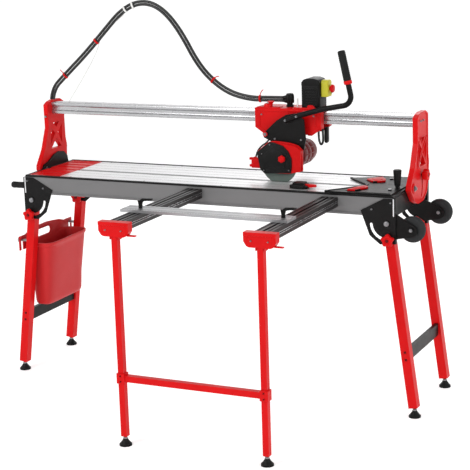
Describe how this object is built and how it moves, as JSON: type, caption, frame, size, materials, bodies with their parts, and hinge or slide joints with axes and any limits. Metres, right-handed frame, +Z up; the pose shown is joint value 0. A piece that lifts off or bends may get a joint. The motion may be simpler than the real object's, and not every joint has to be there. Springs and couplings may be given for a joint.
{
  "type": "tile cutter",
  "caption": "Bridge tile cutter: water tray table on folding legs, tilting beam with a sliding saw head, side extension table, wheels and a waste bucket.",
  "frame": {"origin": "middle of the footprint, on the floor", "axes": "+X along the table towards the wheels, +Y from the extension table towards the bridge, +Z up"},
  "size_m": [1.703, 1.011, 1.4545],
  "materials": {
    "grey_paint": "satin",
    "black_paint": "satin",
    "red_paint": "satin",
    "red_plastic": "satin",
    "black_plastic": "matt",
    "aluminium_plate": "satin",
    "dark_aluminium": "satin",
    "bare_steel": "satin",
    "tyre_rubber": "matt",
    "yellow_plastic": "satin",
    "green_plastic": "satin",
    "blade_green": "satin",
    "hose_rubber": "satin",
    "foam_black": "matt"
  },
  "bodies": {
    "table": {"tray_shell": "grey_paint", "edge_strips": "black_plastic", "table_plates": "aluminium_plate", "red_end_panel": "red_plastic", "table_supports": "bare_steel", "end_plates": "black_paint", "leg_brackets": "black_paint", "pivot_bolts": "bare_steel", "wheel_arms": "black_paint", "transport_grip": "black_plastic", "water_pump": "black_plastic", "extension_arms": "dark_aluminium", "arm_end_brackets": "red_paint"},
    "wheel_front": {"tyre_front": "tyre_rubber", "wheel_hub_front": "black_plastic"},
    "wheel_rear": {"tyre_rear": "tyre_rubber", "wheel_hub_rear": "black_plastic"},
    "left_legs": {"leg_tubes_left": "red_paint", "leg_brace_left": "black_paint", "feet_left": "black_plastic", "bucket_pegs": "bare_steel"},
    "right_legs": {"leg_tubes_right": "red_paint", "leg_brace_right": "black_paint", "feet_right": "black_plastic"},
    "knob_fl": {"lock_knob_front_left": "red_plastic"},
    "knob_rl": {"lock_knob_rear_left": "red_plastic"},
    "knob_fr": {"lock_knob_front_right": "red_plastic"},
    "knob_rr": {"lock_knob_rear_right": "red_plastic"},
    "bucket": {"bucket": "red_plastic"},
    "extension_frame": {"extension_legs": "red_paint", "feet_extension": "black_plastic"},
    "ruler": {"ruler_bar": "aluminium_plate"},
    "clamp_left": {"clamp_lever_left": "black_plastic"},
    "clamp_right": {"clamp_lever_right": "black_plastic"},
    "guide": {"guide_plate": "black_plastic"},
    "guide_knob": {"guide_knob": "black_plastic"},
    "stop": {"stop_block": "black_plastic"},
    "bevel_knob": {"bevel_knob": "red_plastic"},
    "bridge": {"column_left": "red_paint", "column_right": "red_paint", "beam": "aluminium_plate", "water_hose": "hose_rubber", "power_cable": "hose_rubber"},
    "carriage": {"carriage_shell": "red_paint", "hose_gland": "black_plastic", "switch_box": "black_plastic", "switch_cover": "yellow_plastic"},
    "roller_left": {"guide_roller_left": "black_plastic"},
    "roller_right": {"guide_roller_right": "black_plastic"},
    "stop_button": {"stop_button": "red_plastic"},
    "start_button": {"start_button": "green_plastic"},
    "carriage_knob": {"carriage_knob": "red_plastic"},
    "head": {"plunge_bracket": "black_paint", "motor_housing": "red_paint", "guard_body": "red_plastic", "guard_cover": "black_plastic", "handle_tube": "black_paint", "handle_grip": "foam_black"},
    "blade": {"arbor": "bare_steel", "blade": "blade_green"}
  },
  "joints": [
    {"name": "bridge_bevel", "type": "hinge", "parent": "table", "child": "bridge", "pos_m": [-0.0095, 0.2655, 0.8], "axis": [1, 0, 0], "range_deg": [0, 45]},
    {"name": "carriage_slide", "type": "slide", "parent": "bridge", "child": "carriage", "axis": [1, 0, 0], "range_m": [-0.88, 0.24], "deforming": ["water_hose", "power_cable"]},
    {"name": "roller_left_spin", "type": "hinge", "parent": "carriage", "child": "roller_left", "pos_m": [0.1805, 0.3262, 1.03], "axis": [0, 0, 1], "continuous": true},
    {"name": "roller_right_spin", "type": "hinge", "parent": "carriage", "child": "roller_right", "pos_m": [0.3535, 0.3262, 1.03], "axis": [0, 0, 1], "continuous": true},
    {"name": "head_plunge", "type": "hinge", "parent": "carriage", "child": "head", "pos_m": [0.1905, 0.2785, 0.972], "axis": [0, -1, 0], "range_deg": [0, 15]},
    {"name": "blade_spin", "type": "hinge", "parent": "head", "child": "blade", "pos_m": [0.2465, 0.2655, 0.862], "axis": [0, 1, 0], "continuous": true},
    {"name": "left_leg_fold", "type": "hinge", "parent": "table", "child": "left_legs", "pos_m": [-0.7365, 0.2785, 0.703], "axis": [0, -1, 0], "range_deg": [0, 80]},
    {"name": "right_leg_fold", "type": "hinge", "parent": "table", "child": "right_legs", "pos_m": [0.7175, 0.2785, 0.703], "axis": [0, 1, 0], "range_deg": [0, 88]},
    {"name": "extension_fold", "type": "hinge", "parent": "table", "child": "extension_frame", "pos_m": [0.2385, -0.4835, 0.738], "axis": [-1, 0, 0], "range_deg": [-80, 0]},
    {"name": "bucket_lift", "type": "slide", "parent": "left_legs", "child": "bucket", "axis": [0, 0, -1], "range_m": [-0.08, 0]},
    {"name": "leg_lock_fl", "type": "hinge", "parent": "left_legs", "child": "knob_fl", "pos_m": [-0.74423, 0.0935, 0.64653], "axis": [0, 1, 0], "range_deg": [-180, 180]},
    {"name": "leg_lock_rl", "type": "hinge", "parent": "left_legs", "child": "knob_rl", "pos_m": [-0.74423, 0.4505, 0.64653], "axis": [0, 1, 0], "range_deg": [-180, 180]},
    {"name": "leg_lock_fr", "type": "hinge", "parent": "right_legs", "child": "knob_fr", "pos_m": [0.72523, 0.0935, 0.64653], "axis": [0, 1, 0], "range_deg": [-180, 180]},
    {"name": "leg_lock_rr", "type": "hinge", "parent": "right_legs", "child": "knob_rr", "pos_m": [0.72523, 0.4505, 0.64653], "axis": [0, 1, 0], "range_deg": [-180, 180]},
    {"name": "ruler_slide", "type": "slide", "parent": "table", "child": "ruler", "axis": [0, 1, 0], "range_m": [-0.12, 0.3]},
    {"name": "clamp_left_turn", "type": "hinge", "parent": "ruler", "child": "clamp_left", "pos_m": [-0.0275, -0.3035, 0.8], "axis": [0, 0, 1], "range_deg": [0, 120]},
    {"name": "clamp_right_turn", "type": "hinge", "parent": "ruler", "child": "clamp_right", "pos_m": [0.5055, -0.3035, 0.8], "axis": [0, 0, 1], "range_deg": [0, 120]},
    {"name": "guide_shift", "type": "slide", "parent": "table", "child": "guide", "axis": [1, 0, 0], "range_m": [-0.04, 0]},
    {"name": "guide_lock", "type": "hinge", "parent": "guide", "child": "guide_knob", "pos_m": [0.7125, 0.2375, 0.83], "axis": [0, 0, 1], "range_deg": [-180, 180]},
    {"name": "stop_shift", "type": "slide", "parent": "table", "child": "stop", "axis": [1, 0, 0], "range_m": [-0.6, 0.04]},
    {"name": "bevel_lock", "type": "hinge", "parent": "table", "child": "bevel_knob", "pos_m": [0.7755, 0.3563, 0.83413], "axis": [1, 0, 0], "range_deg": [-180, 180]},
    {"name": "carriage_lock", "type": "hinge", "parent": "carriage", "child": "carriage_knob", "pos_m": [0.1905, 0.3295, 1.075], "axis": [0, 0, 1], "range_deg": [-180, 180]},
    {"name": "stop_press", "type": "slide", "parent": "carriage", "child": "stop_button", "axis": [-1, 0, 0], "range_m": [0, 0.004], "stiffness_N_per_m": 800},
    {"name": "start_press", "type": "slide", "parent": "carriage", "child": "start_button", "axis": [-1, 0, 0], "range_m": [0, 0.0025], "stiffness_N_per_m": 800},
    {"name": "wheel_front_spin", "type": "hinge", "parent": "table", "child": "wheel_front", "pos_m": [0.8045, 0.1305, 0.684], "axis": [0, 1, 0], "continuous": true},
    {"name": "wheel_rear_spin", "type": "hinge", "parent": "table", "child": "wheel_rear", "pos_m": [0.8045, 0.4435, 0.684], "axis": [0, 1, 0], "continuous": true}
  ],
  "couplings": [
    {"joint": "roller_left_spin", "follows": "carriage_slide", "rad_per_m": 76.923},
    {"joint": "roller_right_spin", "follows": "carriage_slide", "rad_per_m": 76.923}
  ]
}
